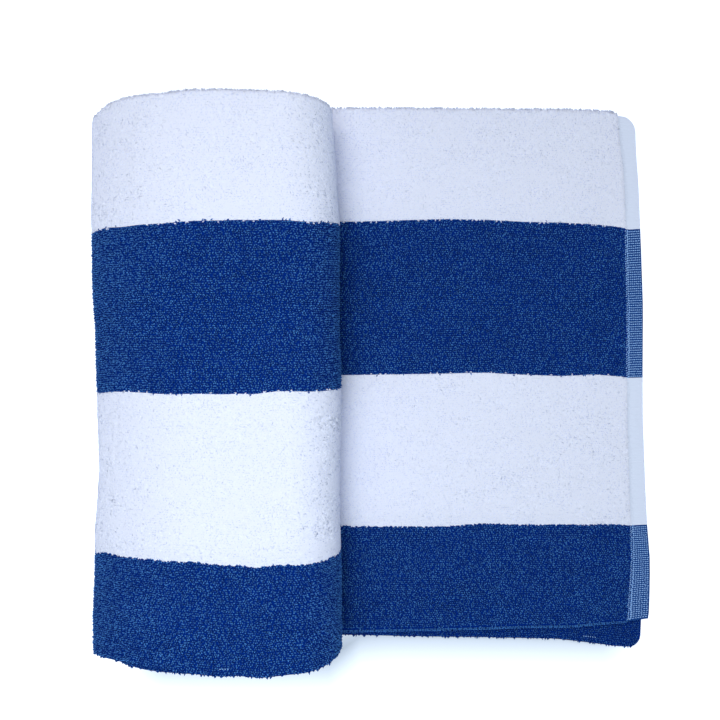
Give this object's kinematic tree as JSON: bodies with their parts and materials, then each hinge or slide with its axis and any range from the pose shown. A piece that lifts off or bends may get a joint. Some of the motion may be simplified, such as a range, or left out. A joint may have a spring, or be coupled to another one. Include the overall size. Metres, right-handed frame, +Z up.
{
  "type": "beach towel",
  "caption": "Terry beach towel folded in half along its length and rolled up from one end, lying on its own flat loose end.",
  "frame": {"origin": "centre of the bounding box at the height of the surface the towel lies on", "axes": "+X along the towel's length towards its loose end, +Y across it towards the fold, +Z up"},
  "size_m": [0.3974, 0.3928, 0.08],
  "materials": {
    "towelling": "looped cotton terry, matt"
  },
  "bodies": {
    "root": {"towel": "towelling"}
  },
  "joints": []
}
